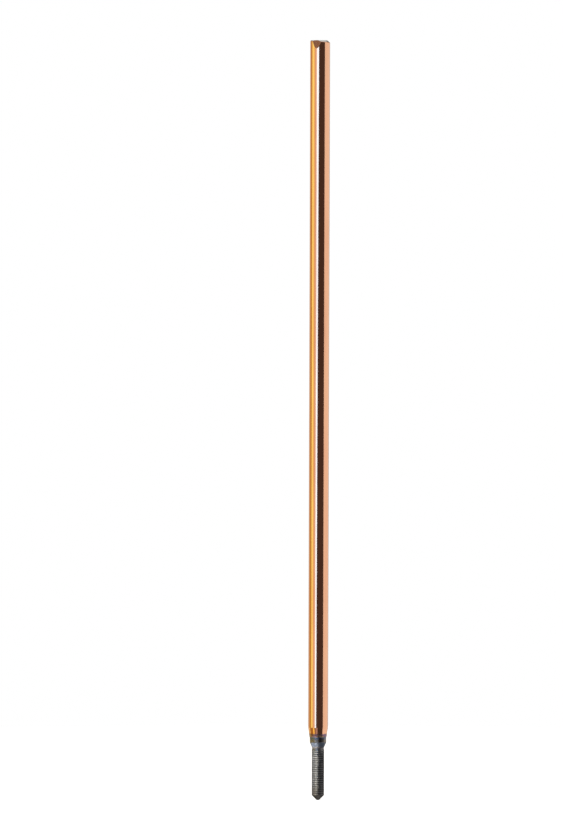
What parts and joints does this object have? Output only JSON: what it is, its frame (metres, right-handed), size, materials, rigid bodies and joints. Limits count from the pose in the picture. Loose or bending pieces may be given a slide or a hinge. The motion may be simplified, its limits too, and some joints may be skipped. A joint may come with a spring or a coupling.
{
  "type": "earth rod",
  "caption": "Straight round copper-coated steel earth rod, with a driving socket in its head and a ridged spigot with a blunt conical tip at its foot.",
  "frame": {"origin": "centre of the flat on the tip, at the foot of the rod", "axes": "+Z along the rod's axis, from the tip at the foot up to the socket in the head; X and Y are free, because the rod is round"},
  "size_m": [0.025, 0.025, 0.96],
  "materials": {
    "copper_coated_steel": "bright drawn copper coat on steel, with bare dark steel at the foot and bare turned steel at the head and in the socket"
  },
  "bodies": {
    "root": {"earth_rod": "copper_coated_steel"}
  },
  "joints": []
}
